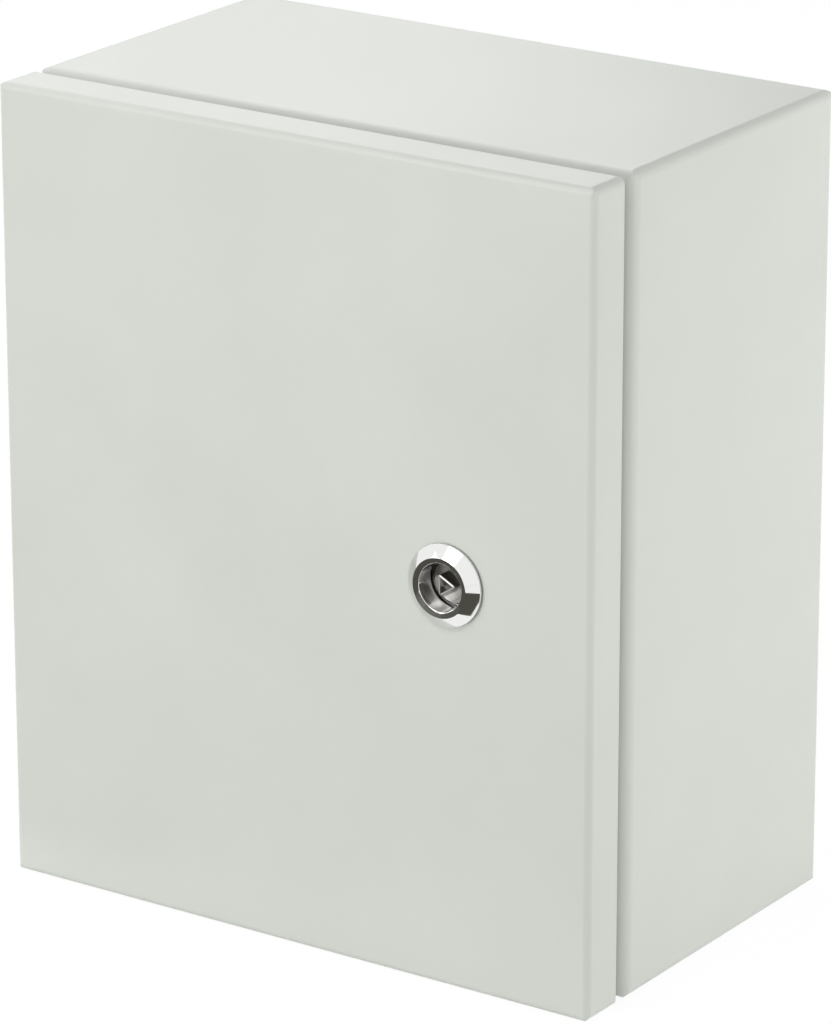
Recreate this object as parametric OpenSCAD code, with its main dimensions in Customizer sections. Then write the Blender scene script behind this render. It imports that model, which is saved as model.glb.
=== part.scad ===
// Wall-mounted sheet-steel enclosure with a hinged door and a quarter-turn lock.
// The rear face lies on the wall at y = 0, the door looks towards -Y and +Z is up.
// The origin is the middle of the four wall holes, on the wall.

/* [Housing] */
// Overall width of the housing and the door
width = 250; // [200:5:600]
// Overall height of the housing and the door
height = 300; // [240:5:800]
// Depth of the housing from the wall to its gutter floor
housing_depth = 135; // [100:5:300]
// Thickness of the housing's sheet
wall_t = 1.5; // [1.2:0.1:2]
// Outer radius of the four edges that run from front to back
corner_r = 3.4; // [2.6:0.1:6]
// Outer radius of the edges round the rear wall
rear_r = 3; // [2.4:0.1:6]
// Outer radius of the edges that roll over into the gutter
front_r = 8; // [5:0.5:9]

/* [Rain gutter] */
// Width of the gutter, from the housing's side to the outer face of the lip
gutter_w = 28; // [27:0.5:40]
// Height of the lip in front of the gutter floor
lip_h = 13.5; // [11:0.5:14]
// Outer bend radius between the gutter floor and the lip
lip_bend_r = 2.5; // [2:0.1:3]
// Outer radius of the lip's corners, seen from the front
lip_corner_r = 6; // [4:0.5:12]

/* [Door] */
// Gap between the door's rear edge and the gutter floor
door_gap = 2; // [1.5:0.1:4]
// Depth of the door's flanges, the front skin included
door_depth = 18.5; // [17:0.5:22]
// Thickness of the door's sheet
door_t = 1.5; // [1.2:0.1:1.8]
// Outer radius of the bend between the door's skin and its flanges
door_bend_r = 2.5; // [2:0.1:4]
// Radius of the deburred outer edge at the rear of the flanges
flange_edge_r = 0.5; // [0.2:0.1:0.8]
// Width of the foamed gasket bead
gasket_w = 8; // [6:0.5:8.5]
// Free play between the gasket and the lip
gasket_play = 0.3; // [0.2:0.1:1]

/* [Wall holes and mounting plate] */
// Diameter of the wall holes
wall_hole_d = 8.5; // [6:0.5:10]
// Distance of the wall holes from the housing's sides, top and bottom
wall_hole_inset = 40; // [36:1:60]
// Thickness of the mounting plate
plate_t = 2; // [1.5:0.5:3]
// Gap between the mounting plate's edge and the lip it passes
plate_play = 2.5; // [1:0.5:10]
// Length of the spacers that hold the plate off the rear wall
spacer_l = 10; // [6:1:20]
// Side of the square notch that leaves each wall hole open
notch = 20; // [16:1:24]
// Distance of the plate's studs from the housing's sides
plate_stud_inset_x = 45; // [44:1:60]
// Distance of the plate's studs from the housing's top and bottom
plate_stud_inset_z = 65; // [62:1:90]
// Thread diameter of the plate's studs
plate_stud_d = 6; // [5:1:8]
// Free length of the plate's studs in front of the rear wall
plate_stud_l = 21; // [20:1:32]

/* [Gland opening in the bottom] */
// Width of the opening
gland_w = 130; // [80:5:140]
// Depth of the opening, from front to back
gland_d = 60; // [40:5:70]
// Distance from the wall to the middle of the opening
gland_from_wall = 62; // [50:1:70]
// Overlap of the gland plate on the sheet round the opening
gland_overlap = 12; // [10:1:14]
// Thickness of the gland plate
gland_t = 1.5; // [1:0.5:3]
// Thickness of the gland gasket
gland_seal_t = 2; // [1:0.5:3]
// Thread diameter of the gland plate's studs
gland_stud_d = 5; // [4:1:5]

/* [Hinges] */
// Distance from the door's left side to the hinge axis
hinge_inset = 6.5; // [6.5:0.1:7]
// Distance from the door's front skin back to the hinge axis
hinge_back = 6.3; // [6.2:0.1:6.6]
// Distance from the housing's top and bottom to the middle of each hinge
hinge_from_end = 50; // [48:1:100]
// Height of each hinge arm
arm_h = 24; // [18:1:40]
// Thickness of the arm's outer wall beside the door's swinging flange
arm_wall = 2.7; // [2:0.1:3]
// Diameter of the hinge pin
pin_d = 3.5; // [3:0.1:4]
// Wall of the arm's eye round the pin
eye_wall = 1.75; // [1.4:0.05:1.8]
// Thickness of the folded leaf on the door
leaf_t = 1.2; // [1:0.1:1.2]
// Length of the leaf's web behind the hinge axis
leaf_reach = 8; // [6:0.5:10]
// Thickness of the leaf's two ears
ear_t = 2; // [1.5:0.5:3]
// Free play between the arm's eye and the leaf it turns beside
eye_play = 0.25; // [0.2:0.05:0.4]
// Diameter of the screws that hold the arms
arm_screw_d = 4; // [3:0.5:4]
// Depth of the screws' threaded holes in the arms
arm_screw_in = 4; // [3:0.5:5]

/* [Lock] */
// Distance from the door's right side to the lock's axis
lock_inset = 59; // [55:0.5:70]
// Outer diameter of the bezel
bezel_d = 30; // [28:0.5:34]
// Height of the bezel in front of the door
bezel_h = 4.8; // [3:0.1:6]
// Width of the dished edge between the bezel's cone and the key recess
bezel_edge = 2; // [1.5:0.1:2.5]
// Depth of the dish, from the bezel's front edge to the key recess
dish_h = 0.75; // [0.4:0.05:1.2]
// Thickness of the seal between the bezel and the door
seal_t = 0.6; // [0.4:0.1:1]
// Depth of the spindle's face behind the door's skin
spindle_set_back = 4.1; // [3:0.1:5]
// Thickness of the spindle's head
head_t = 2.5; // [2:0.1:3]
// Gap between the spindle's head and the wall of the key recess
head_gap = 0.9; // [0.6:0.1:1.2]
// Triangular driver, from a flat to the opposite corner
driver_across = 6.4; // [5:0.1:7.5]
// Height of the triangular driver above the spindle's face
driver_h = 5.6; // [4:0.1:6]
// Turn of the driver from the cam's direction
driver_turn = 3; // [-10:1:10]
// Diameter of the threaded barrel
barrel_d = 22; // [20.5:0.1:24]
// Wall of the barrel between its flats and the key recess
barrel_wall = 1.2; // [0.8:0.1:1.6]
// Thickness of the barrel's nut
lock_nut_t = 5; // [4:0.5:7]
// Wall of the nut between the barrel's thread and its flats
lock_nut_wall = 2.5; // [2:0.5:4]
// Diameter of the spindle's shaft
shaft_d = 10; // [9:0.5:11]
// Reach of the cam from the lock's axis
cam_reach = 38; // [36:0.5:44]
// Thickness of the cam
cam_t = 3; // [2:0.5:4]
// Width of the cam
cam_w = 14; // [12:1:18]

/* [Earthing studs] */
// Thread diameter of the earthing studs
earth_d = 6; // [5:1:8]
// Free length of the earthing studs
earth_l = 16; // [14:1:20]
// Distance of both earthing studs from the housing's left side
earth_inset = 60; // [50:1:80]
// Distance from the gutter floor back to the housing's earthing stud
earth_set_back = 18; // [14:1:25]
// Height of the door's earthing stud above the bottom
door_earth_h = 60; // [45:1:80]

/* [Clearances] */
// Free play of a shaft in its running bore, on the radius
running_fit = 0.05; // [0.02:0.01:0.1]
// Free play of a pin or a thread in a part it is fixed to, on the radius
fixed_fit = 0.05; // [0.02:0.01:0.08]
// Free play of a screw in a clearance hole, on the radius
hole_play = 0.25; // [0.1:0.05:0.5]
// Gap between pieces that move past each other
moving_gap = 0.4; // [0.3:0.1:0.6]

/* [Hidden] */
$fn = 64;
eps = 0.01;

// Depths are counted from the wall towards the door.
door_rear = housing_depth + door_gap;
door_front = door_rear + door_depth;
skin_in = door_front - door_t;
lip_tip = housing_depth + lip_h;
floor_back = housing_depth - wall_t;

// The clear opening inside the lip.
open_w = width - 2 * (gutter_w + wall_t);
open_h = height - 2 * (gutter_w + wall_t);
lip_in_r = lip_corner_r - wall_t;

// Mounting plate and its fixings.
plate_w = open_w - 2 * plate_play;
plate_h = open_h - 2 * plate_play;
plate_back = wall_t + spacer_l;
plate_front = plate_back + plate_t;
plate_studs_at = [
    for (x = [-1, 1], z = [-1, 1])
    [x * (width / 2 - plate_stud_inset_x), z * (height / 2 - plate_stud_inset_z)]
];
wall_holes_at = [
    for (x = [-1, 1], z = [-1, 1])
    [x * (width / 2 - wall_hole_inset), z * (height / 2 - wall_hole_inset)]
];

// Gland plate and its fixings.
gland_floor = -height / 2 + wall_t;
gland_out_w = gland_w + 2 * gland_overlap;
gland_out_d = gland_d + 2 * gland_overlap;
gland_r = 6;
gland_seal_in = 2;
gland_line = (gland_overlap + gland_seal_in) / 2;
gland_studs_at = [
    for (x = [-1, 0, 1], y = [-1, 1])
    [x * (gland_w / 2 + gland_line), -gland_from_wall + y * (gland_d / 2 + gland_line)]
];
gland_top = gland_seal_t + gland_t;

// Hinge axis, and the circle that the door's flange swings on.
hinge_x = -width / 2 + hinge_inset;
hinge_y = -door_front + hinge_back;
hinges_at = [height / 2 - hinge_from_end, -height / 2 + hinge_from_end];
flange_r = norm([hinge_inset, door_depth - hinge_back]);
swing_r = flange_r + moving_gap;
eye_r = pin_d / 2 + eye_wall;
web_x = door_t - hinge_inset;
arm_front = hinge_back - door_t - moving_gap;
arm_right = swing_r + arm_wall;
arm_foot = door_depth - hinge_back + door_gap;
foot_left = swing_r * 0.45;
arm_screw_x = swing_r - 1.5;
arm_screw_gap = arm_h - 2.5 * arm_screw_d;
arm_screw_head = arm_screw_d * 0.6;
leaf_h = arm_h + 2 * (moving_gap + ear_t);
pin_head_t = 1;
pin_groove = 0.5;
clip_t = 0.6;
clip_w = 1.9;

// Lock.
lock_x = width / 2 - lock_inset;
bezel_rim = 0.9;
barrel_r = barrel_d / 2;
barrel_end = housing_depth + 0.2;
barrel_flat = barrel_d - 2;
recess_r = barrel_flat / 2 - barrel_wall;
spindle_face = door_front - spindle_set_back;
shoulder = spindle_face - head_t;
head_r = recess_r - head_gap;
groove_from = shoulder - 4;
groove_w = 1.6;
groove_depth = 1.5;
o_ring_r = 0.7;
square_w = shaft_d * 0.7;
square_play = 0.1;
driver_r = 0.6;
driver_bevel = 0.45;
driver_d = (driver_across - 2 * driver_r) / 1.5;
cam_front = floor_back - moving_gap;
cam_back = cam_front - cam_t;
stop_tab = 60;
stop_tab_in = shaft_d / 2 + 0.3;
stop_tab_w = 2;
stop_depth = 1.8;
stop_play = 1;
lock_travel = 90;
spindle_end = cam_back + 0.1;
cam_screw_d = 5;
cam_screw_l = 10;

// Shapes -----------------------------------------------------------------

// Rectangle with true round corners, about its middle.
module rounded_rect(w, h, r) {
    square([w - 2 * r, h], center = true);
    square([w, h - 2 * r], center = true);
    for (x = [-1, 1], y = [-1, 1])
        translate([x * (w / 2 - r), y * (h / 2 - r)]) circle(r);
}

// Outline across the depth: sides w apart, from depth a to depth b, with its
// corners rounded at the wall end and at the door end.
module depth_outline(w, a, b, r_wall, r_door) {
    translate([-w / 2, r_door - b]) square([w, b - r_door - a - r_wall]);
    translate([r_wall - w / 2, -a - r_wall - eps]) square([w - 2 * r_wall, r_wall + eps]);
    translate([r_door - w / 2, -b]) square([w - 2 * r_door, r_door + eps]);
    for (x = [-1, 1]) {
        if (r_wall > 0) translate([x * (w / 2 - r_wall), -a - r_wall]) circle(r_wall);
        if (r_door > 0) translate([x * (w / 2 - r_door), r_door - b]) circle(r_door);
    }
}

// Box whose edges are rounded like folded sheet: round edges from front to
// back, and round edges at the wall end and the door end that meet in mitres.
module folded_block(w, h, a, b, r_edge, r_wall, r_door) {
    intersection() {
        out(a, b) rounded_rect(w, h, r_edge);
        linear_extrude(h + 1, center = true) depth_outline(w, a, b, r_wall, r_door);
        rotate([0, -90, 0])
            linear_extrude(w + 1, center = true) depth_outline(h, a, b, r_wall, r_door);
    }
}

// Extrudes a front view from depth a to depth b.
module out(a, b) {
    translate([0, -a, 0]) rotate([90, 0, 0]) linear_extrude(b - a) children();
}

// Turns a round profile of radius and height about an axis that comes out of
// the wall at depth a.
module turned(a) {
    translate([0, -a, 0]) rotate([90, 0, 0]) rotate_extrude() children();
}

// Plain disc or ring with its face at depth a and its front at depth b.
module ring(r, r_in, a, b) {
    out(a, b) difference() {
        circle(r);
        if (r_in > 0) circle(r_in);
    }
}

// Hexagon nut with turned-down corners, standing on z = 0.
module hex_nut(across, bore_r, h) {
    point_r = across / 2 / cos(30);
    difference() {
        intersection() {
            linear_extrude(h) circle(point_r, $fn = 6);
            rotate_extrude() polygon([
                [0, 0], [across / 2 * 0.97, 0], [point_r, (point_r - across / 2) * 0.6],
                [point_r, h - (point_r - across / 2) * 0.6], [across / 2 * 0.97, h], [0, h]
            ]);
        }
        translate([0, 0, -1]) cylinder(h + 2, bore_r, bore_r);
    }
}

// Washer standing on z = 0.
module washer(r, bore_r, h) {
    linear_extrude(h) difference() {
        circle(r);
        circle(bore_r);
    }
}

// Weld stud standing on z = 0: a low weld collar, the shank and a chamfered tip.
module weld_stud(d, l) {
    collar_w = 1;
    collar_h = 0.6;
    tip = 0.8;
    rotate_extrude() polygon([
        [0, 0], [d / 2 + collar_w, 0], [d / 2 + collar_w, collar_h], [d / 2, 1.5 * collar_h],
        [d / 2, l - tip], [d / 2 - tip, l], [0, l]
    ]);
}

// Housing ----------------------------------------------------------------

// How far the rolled edge's section laps the gutter floor.
floor_lap = 4;

// Section of the rolled edge: u counts outwards from the lip's corner centre
// and v backwards from the wall, so the floor lies at v = -housing_depth.
module lip_section() {
    u_in = lip_in_r;
    u_out = lip_corner_r;
    fillet = lip_bend_r - wall_t;
    tip = wall_t / 2;
    translate([u_in, tip - lip_tip]) square([wall_t, lip_tip - tip - floor_back - lip_bend_r]);
    translate([u_in + tip, tip - lip_tip]) circle(tip);
    difference() {
        translate([u_in, -floor_back - lip_bend_r - eps]) square([lip_bend_r, lip_bend_r + eps]);
        translate([u_in + lip_bend_r, -floor_back - lip_bend_r]) difference() {
            translate([-lip_bend_r - 1, 0]) square([lip_bend_r + 1, lip_bend_r + 1]);
            circle(lip_bend_r);
        }
        translate([u_in + lip_bend_r, -floor_back - lip_bend_r]) circle(fillet);
    }
    translate([u_in + lip_bend_r, -housing_depth]) square([floor_lap, wall_t]);
}

// The lip and its bend, carried round the four sides and the four corners.
module lip_ring() {
    cx = open_w / 2 - lip_in_r;
    cz = open_h / 2 - lip_in_r;
    for (side = [0, 180]) {
        rotate([0, side, 0]) translate([cx, 0, 0])
            linear_extrude(2 * cz, center = true) lip_section();
        rotate([0, side - 90, 0]) translate([cz, 0, 0])
            linear_extrude(2 * cx, center = true) lip_section();
    }
    for (corner = [[1, 1, 0], [-1, 1, 90], [-1, -1, 180], [1, -1, 270]])
        translate([corner[0] * cx, 0, corner[1] * cz])
            rotate([90, 0, 0]) rotate([0, 0, corner[2]])
                rotate_extrude(angle = 90) mirror([0, 1]) lip_section();
}

module housing() {
    floor_cut = lip_bend_r + floor_lap / 2;
    color("gainsboro") difference() {
        union() {
            difference() {
                folded_block(width, height, 0, housing_depth, corner_r, rear_r, front_r);
                folded_block(width - 2 * wall_t, height - 2 * wall_t, wall_t, floor_back,
                             corner_r - wall_t, rear_r - wall_t, front_r - wall_t);
                out(floor_back - 1, housing_depth + 1)
                    rounded_rect(open_w + 2 * floor_cut, open_h + 2 * floor_cut, lip_in_r + floor_cut);
            }
            lip_ring();
        }
        for (at = wall_holes_at)
            translate([at[0], 0, at[1]]) out(-1, wall_t + 1) circle(wall_hole_d / 2);
        translate([0, -gland_from_wall, -height / 2 - 1])
            linear_extrude(wall_t + 2) rounded_rect(gland_w, gland_d, gland_r);
        for (z = hinges_at, s = [-1, 1])
            translate([hinge_x + arm_screw_x, 0, z + s * arm_screw_gap / 2])
                out(floor_back - 1, housing_depth + 1) circle(arm_screw_d / 2 + hole_play);
    }
}

// Mounting plate ---------------------------------------------------------

module mounting_plate() {
    color("silver") out(plate_back, plate_front) difference() {
        rounded_rect(plate_w, plate_h, 2);
        for (x = [-1, 1], z = [-1, 1])
            translate([x * plate_w / 2, z * plate_h / 2])
                rounded_rect(2 * notch, 2 * notch, 3);
        for (at = plate_studs_at) translate(at) circle(plate_stud_d / 2 + 2 * hole_play);
    }
}

module at_plate_studs(depth) {
    for (at = plate_studs_at)
        translate([at[0], -depth, at[1]]) rotate([90, 0, 0]) children();
}

module plate_studs() {
    color("peru") at_plate_studs(wall_t) weld_stud(plate_stud_d, plate_stud_l);
}

module plate_spacers() {
    color("silver") at_plate_studs(wall_t)
        washer(plate_stud_d / 2 + 4, plate_stud_d / 2 + 1.2, spacer_l);
}

plate_washer_t = 1.6;

module plate_washers() {
    color("silver") at_plate_studs(plate_front)
        washer(plate_stud_d, plate_stud_d / 2 + hole_play, plate_washer_t);
}

module plate_nuts() {
    color("silver") at_plate_studs(plate_front + plate_washer_t)
        hex_nut(plate_stud_d * 5 / 3, plate_stud_d / 2 + fixed_fit, plate_stud_d * 5 / 6);
}

// Gland opening ----------------------------------------------------------

module at_gland_studs(up) {
    for (at = gland_studs_at) translate([at[0], at[1], gland_floor + up]) children();
}

module gland_sheet(t, cut, hole_r) {
    linear_extrude(t) difference() {
        translate([0, -gland_from_wall]) rounded_rect(gland_out_w, gland_out_d, 5);
        if (cut) translate([0, -gland_from_wall])
            rounded_rect(gland_w + 2 * gland_seal_in, gland_d + 2 * gland_seal_in, gland_r);
        for (at = gland_studs_at) translate(at) circle(hole_r);
    }
}

module gland_gasket() {
    color("dimgray") translate([0, 0, gland_floor])
        gland_sheet(gland_seal_t, true, gland_stud_d / 2 + 1.3);
}

module gland_plate() {
    color("silver") translate([0, 0, gland_floor + gland_seal_t])
        gland_sheet(gland_t, false, gland_stud_d / 2 + hole_play);
}

gland_washer_t = 1;

module gland_studs() {
    color("peru") at_gland_studs(0)
        weld_stud(gland_stud_d, gland_top + gland_washer_t + gland_stud_d + 1.5);
}

module gland_washers() {
    color("silver") at_gland_studs(gland_top)
        washer(gland_stud_d, gland_stud_d / 2 + hole_play, gland_washer_t);
}

module gland_nuts() {
    color("silver") at_gland_studs(gland_top + gland_washer_t)
        hex_nut(gland_stud_d * 1.6, gland_stud_d / 2 + fixed_fit, gland_stud_d * 0.8);
}

// Earthing studs ---------------------------------------------------------

earth_washer_t = 1.6;
earth_x = earth_inset - width / 2;

// Height of the earthing washers above the sheet, clear of the studs' weld collars.
earth_seat = 1;

module at_housing_earth(up) {
    translate([earth_x, earth_set_back - housing_depth, gland_floor + up]) children();
}

module at_door_earth(up) {
    translate([earth_x, up - skin_in, door_earth_h - height / 2]) rotate([-90, 0, 0]) children();
}

module earth_washer() {
    color("silver") washer(earth_d, earth_d / 2 + hole_play, earth_washer_t);
}

module earth_nut() {
    color("silver") hex_nut(earth_d * 5 / 3, earth_d / 2 + fixed_fit, earth_d * 5 / 6);
}

module housing_earth_stud() {
    color("peru") at_housing_earth(0) weld_stud(earth_d, earth_l);
}

module housing_earth_washer() {
    at_housing_earth(earth_seat) earth_washer();
}

module housing_earth_nut() {
    at_housing_earth(earth_seat + earth_washer_t) earth_nut();
}

module door_earth_stud() {
    color("peru") at_door_earth(0) weld_stud(earth_d, earth_l);
}

module door_earth_washer() {
    at_door_earth(earth_seat) earth_washer();
}

module door_earth_nut() {
    at_door_earth(earth_seat + earth_washer_t) earth_nut();
}

// Hinges -----------------------------------------------------------------

// Places a hinge piece: its own x and y start at the hinge axis.
module at_hinge(i) {
    translate([hinge_x, hinge_y, hinges_at[i]]) children();
}

// Goose-neck outline. It runs from the eye along the door's skin, round the
// circle that the door's flange swings on, and back to a foot on the gutter
// floor, so the flange turns inside the neck.
module arm_outline() {
    round_r = arm_wall;
    back = -moving_gap / 2;
    difference() {
        union() {
            circle(eye_r);
            translate([0, -arm_front]) square([arm_right - round_r, arm_front + arm_foot]);
            translate([0, round_r - arm_front]) square([arm_right, arm_front + arm_foot - round_r]);
            translate([arm_right - round_r, round_r - arm_front]) circle(round_r);
        }
        difference() {
            translate([-swing_r, back]) square([2 * swing_r, 2 * swing_r]);
            difference() {
                translate([foot_left, back]) square([2 * swing_r, 2 * swing_r]);
                circle(swing_r);
            }
            circle(eye_r);
        }
    }
}

module hinge_arm(i) {
    color("darkgray") at_hinge(i) difference() {
        linear_extrude(arm_h, center = true) arm_outline();
        cylinder(arm_h + 2, pin_d / 2 + running_fit, pin_d / 2 + running_fit, center = true);
        for (s = [-1, 1])
            translate([arm_screw_x, arm_foot + 1, s * arm_screw_gap / 2]) rotate([90, 0, 0])
                cylinder(arm_screw_in + 1, arm_screw_d / 2 + fixed_fit, arm_screw_d / 2 + fixed_fit);
    }
}

module upper_hinge_arm() {
    hinge_arm(0);
}

module lower_hinge_arm() {
    hinge_arm(1);
}

// Cheese-head screws put in from inside the housing.
module hinge_arm_screws() {
    head_h = arm_screw_head;
    screw_head_r = arm_screw_d * 0.85;
    r = arm_screw_d / 2;
    edge = 0.4;
    tip = 0.5;
    slot_w = 1;
    end = head_h + wall_t + arm_screw_in - 0.2;
    color("silver") for (i = [0, 1], s = [-1, 1])
        translate([hinge_x + arm_screw_x, head_h - floor_back, hinges_at[i] + s * arm_screw_gap / 2])
            rotate([90, 0, 0]) difference() {
                rotate_extrude() polygon([
                    [0, 0], [screw_head_r - edge, 0], [screw_head_r, edge], [screw_head_r, head_h],
                    [r, head_h], [r, end - tip], [r - tip, end], [0, end]
                ]);
                translate([-screw_head_r - 1, -slot_w / 2, -1])
                    cube([2 * screw_head_r + 2, slot_w, head_h * 0.5 + 1]);
            }
}

// U-shaped leaf folded from strip: a web on the door's flange and two ears
// that hold the pin above and below the arm. A thick eye turns in a hollow of the web.
module hinge_leaf(i) {
    color("darkgray") at_hinge(i) difference() {
        union() {
            translate([web_x, -eye_r, -leaf_h / 2]) cube([leaf_t, eye_r + leaf_reach, leaf_h]);
            for (s = [-1, 1])
                translate([0, 0, s * (leaf_h - ear_t) / 2]) linear_extrude(ear_t, center = true) {
                    translate([web_x, -eye_r]) square([-web_x, 2 * eye_r]);
                    circle(eye_r);
                }
        }
        cylinder(leaf_h + 2, pin_d / 2 + fixed_fit, pin_d / 2 + fixed_fit, center = true);
        cylinder(arm_h + 2 * moving_gap, eye_r + eye_play, eye_r + eye_play, center = true);
    }
}

module upper_hinge_leaf() {
    hinge_leaf(0);
}

module lower_hinge_leaf() {
    hinge_leaf(1);
}

// Headed pin with a groove for its clip at the lower end.
module hinge_pin(i) {
    r = pin_d / 2;
    edge = 0.4;
    head_w = 1.1;
    top = leaf_h / 2;
    groove = -top - fixed_fit;
    groove_end = groove - clip_t - fixed_fit;
    low = groove_end - 1.3;
    color("silver") at_hinge(i) rotate_extrude() polygon([
        [0, low], [r - edge, low], [r, low + edge], [r, groove_end], [r - pin_groove, groove_end],
        [r - pin_groove, groove], [r, groove], [r, top], [r + head_w, top],
        [r + head_w, top + pin_head_t - edge], [r + head_w - edge, top + pin_head_t],
        [0, top + pin_head_t]
    ]);
}

module upper_hinge_pin() {
    hinge_pin(0);
}

module lower_hinge_pin() {
    hinge_pin(1);
}

// Open spring clips pushed into the pins' grooves from the side.
module hinge_pin_clips() {
    in_r = pin_d / 2 - pin_groove + fixed_fit;
    color("dimgray") for (i = [0, 1])
        at_hinge(i) translate([0, 0, -leaf_h / 2 - 2 * fixed_fit - clip_t]) linear_extrude(clip_t)
            difference() {
                circle(in_r + clip_w);
                circle(in_r);
                translate([0, -in_r * 0.8]) square([pin_d + 2, in_r * 1.6]);
            }
}

// Door -------------------------------------------------------------------

module lock_hole(play) {
    intersection() {
        circle(barrel_r + play);
        square([barrel_d * 2, barrel_flat + 2 * play], center = true);
    }
}

module door_shell() {
    in_w = width - 2 * door_t;
    in_h = height - 2 * door_t;
    color("gainsboro") difference() {
        folded_block(width, height, door_rear, door_front, corner_r, flange_edge_r, door_bend_r);
        folded_block(in_w, in_h, door_rear - 1, skin_in, corner_r - door_t, 0, door_bend_r - door_t);
        translate([lock_x, 0, 0]) out(skin_in - 1, door_front + 1) lock_hole(hole_play);
    }
}

module door_gasket() {
    mid = gutter_w + wall_t / 2;
    out_w = width - 2 * mid + gasket_w;
    out_h = height - 2 * mid + gasket_w;
    mid_r = lip_corner_r - wall_t / 2;
    in_r = max(1, mid_r - gasket_w / 2);
    color("dimgray") out(lip_tip + gasket_play, skin_in) difference() {
        rounded_rect(out_w, out_h, mid_r + gasket_w / 2);
        rounded_rect(out_w - 2 * gasket_w, out_h - 2 * gasket_w, in_r);
    }
}

// Lock -------------------------------------------------------------------

module at_lock() {
    translate([lock_x, 0, 0]) children();
}

// Bezel, key recess and threaded barrel in one piece, with the quarter-turn
// stop cut into its rear end.
module lock_housing() {
    top = door_front + bezel_h;
    base = door_front + seal_t;
    color("lightgray") at_lock() difference() {
        union() {
            turned(0) polygon([
                [recess_r, base], [bezel_d / 2, base], [bezel_d / 2, base + bezel_rim],
                [recess_r + bezel_edge, top], [recess_r, top - dish_h]
            ]);
            intersection() {
                ring(barrel_r, 0, barrel_end, base + eps);
                out(barrel_end - 1, door_front + 1) square([barrel_d + 2, barrel_flat], center = true);
            }
            ring(barrel_flat / 2, 0, door_front, base + eps);
        }
        ring(recess_r, 0, shoulder, top + 1);
        ring(shaft_d / 2 + running_fit, 0, barrel_end - 1, shoulder + 1);
        translate([0, -barrel_end + 1, 0]) rotate([90, 0, 0])
            rotate([0, 0, 270 - stop_tab / 2 - stop_play])
                rotate_extrude(angle = stop_tab + lock_travel + 2 * stop_play)
                    square([stop_tab_in + stop_tab_w + 0.3, stop_depth + 1]);
    }
}

module lock_seal() {
    seal_r = bezel_d / 2 - 0.4;
    color("dimgray") at_lock()
        ring(seal_r, barrel_r + hole_play, door_front, door_front + seal_t);
}

module lock_nut() {
    color("silver") at_lock() translate([0, lock_nut_t - skin_in, 0]) rotate([90, 0, 0])
        hex_nut(barrel_d + 2 * lock_nut_wall, barrel_r + fixed_fit, lock_nut_t);
}

// Triangle with round corners, one of them on the X axis.
module driver_outline() {
    polygon([for (a = [0, 120, 240]) driver_d * [cos(a), sin(a)]]);
    for (a = [0, 120, 240]) {
        translate(driver_d * [cos(a), sin(a)]) circle(driver_r);
        rotate(a + 60) translate([0, -driver_d * sin(60)])
            square([driver_d / 2 + driver_r, 2 * driver_d * sin(60)]);
    }
}

// Driver standing on z = 0: its flats are bevelled at the top and its corners
// are turned down.
module driver(h) {
    corner = driver_d + driver_r;
    flat = driver_d / 2 + driver_r;
    block = 2 * driver_across;
    mid = (block / sqrt(2) - driver_bevel) / 2;
    difference() {
        intersection() {
            linear_extrude(h) driver_outline();
            rotate_extrude() polygon([
                [0, 0], [corner + 1, 0], [corner + 1, h - driver_bevel - 1],
                [corner - driver_bevel, h], [0, h]
            ]);
        }
        for (a = [60, 180, 300])
            rotate([0, 0, a]) translate([flat + mid, 0, h + mid]) rotate([0, 45, 0])
                cube(block, center = true);
    }
}

// Spindle: triangular driver, head, shaft with a groove, and a square end.
module lock_spindle() {
    face = spindle_face;
    r = shaft_d / 2;
    in_r = r - groove_depth;
    groove_to = groove_from + groove_w;
    edge = 0.3;
    head_rear = shoulder + 0.1;
    color("darkgray") at_lock() difference() {
        union() {
            rotate([0, -driver_turn, 0]) translate([0, 1 - face, 0]) rotate([90, 0, 0])
                driver(driver_h + 1);
            turned(0) polygon([
                [0, barrel_end - eps], [r, barrel_end - eps], [r, groove_from], [in_r, groove_from],
                [in_r, groove_to], [r, groove_to], [r, head_rear], [head_r, head_rear],
                [head_r, face - edge], [head_r - edge, face], [0, face]
            ]);
            out(spindle_end, barrel_end) square([square_w, square_w], center = true);
        }
        ring(cam_screw_d / 2 + fixed_fit, 0, spindle_end - 1, cam_back + cam_screw_l);
    }
}

module spindle_o_ring() {
    major = shaft_d / 2 - o_ring_r - 0.02;
    color("dimgray") at_lock() turned(groove_from + groove_w / 2)
        translate([major, 0]) circle(o_ring_r);
}

// Washer with a tab that turns in the barrel's notch and stops the cam.
module stop_washer() {
    back = cam_front;
    front = barrel_end - 0.2;
    color("silver") at_lock() difference() {
        union() {
            ring(barrel_flat / 2 - 1, 0, back, front);
            translate([0, -front + eps, 0]) rotate([90, 0, 0]) rotate([0, 0, 270 - stop_tab / 2])
                rotate_extrude(angle = stop_tab)
                    translate([stop_tab_in, 0]) square([stop_tab_w, stop_depth - 0.2]);
        }
        out(back - 1, front + 1) square(square_w + 2 * square_play, center = true);
    }
}

// Flat cam, shown turned down and clear of the gutter.
module lock_cam() {
    hub_r = cam_w / 2 + 2.5;
    tip_r = 3;
    color("silver") at_lock() out(cam_back, cam_front) difference() {
        union() {
            circle(hub_r);
            translate([-cam_w / 2, tip_r - cam_reach]) square([cam_w, cam_reach - tip_r]);
            translate([tip_r - cam_w / 2, -cam_reach]) square([cam_w - 2 * tip_r, tip_r + eps]);
            for (s = [-1, 1]) translate([s * (cam_w / 2 - tip_r), tip_r - cam_reach]) circle(tip_r);
        }
        square(square_w + 2 * square_play, center = true);
    }
}

cam_washer_t = 1.2;

module cam_washer() {
    color("silver") at_lock()
        ring(cam_screw_d * 1.2, cam_screw_d / 2 + hole_play, cam_back - cam_washer_t, cam_back);
}

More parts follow.
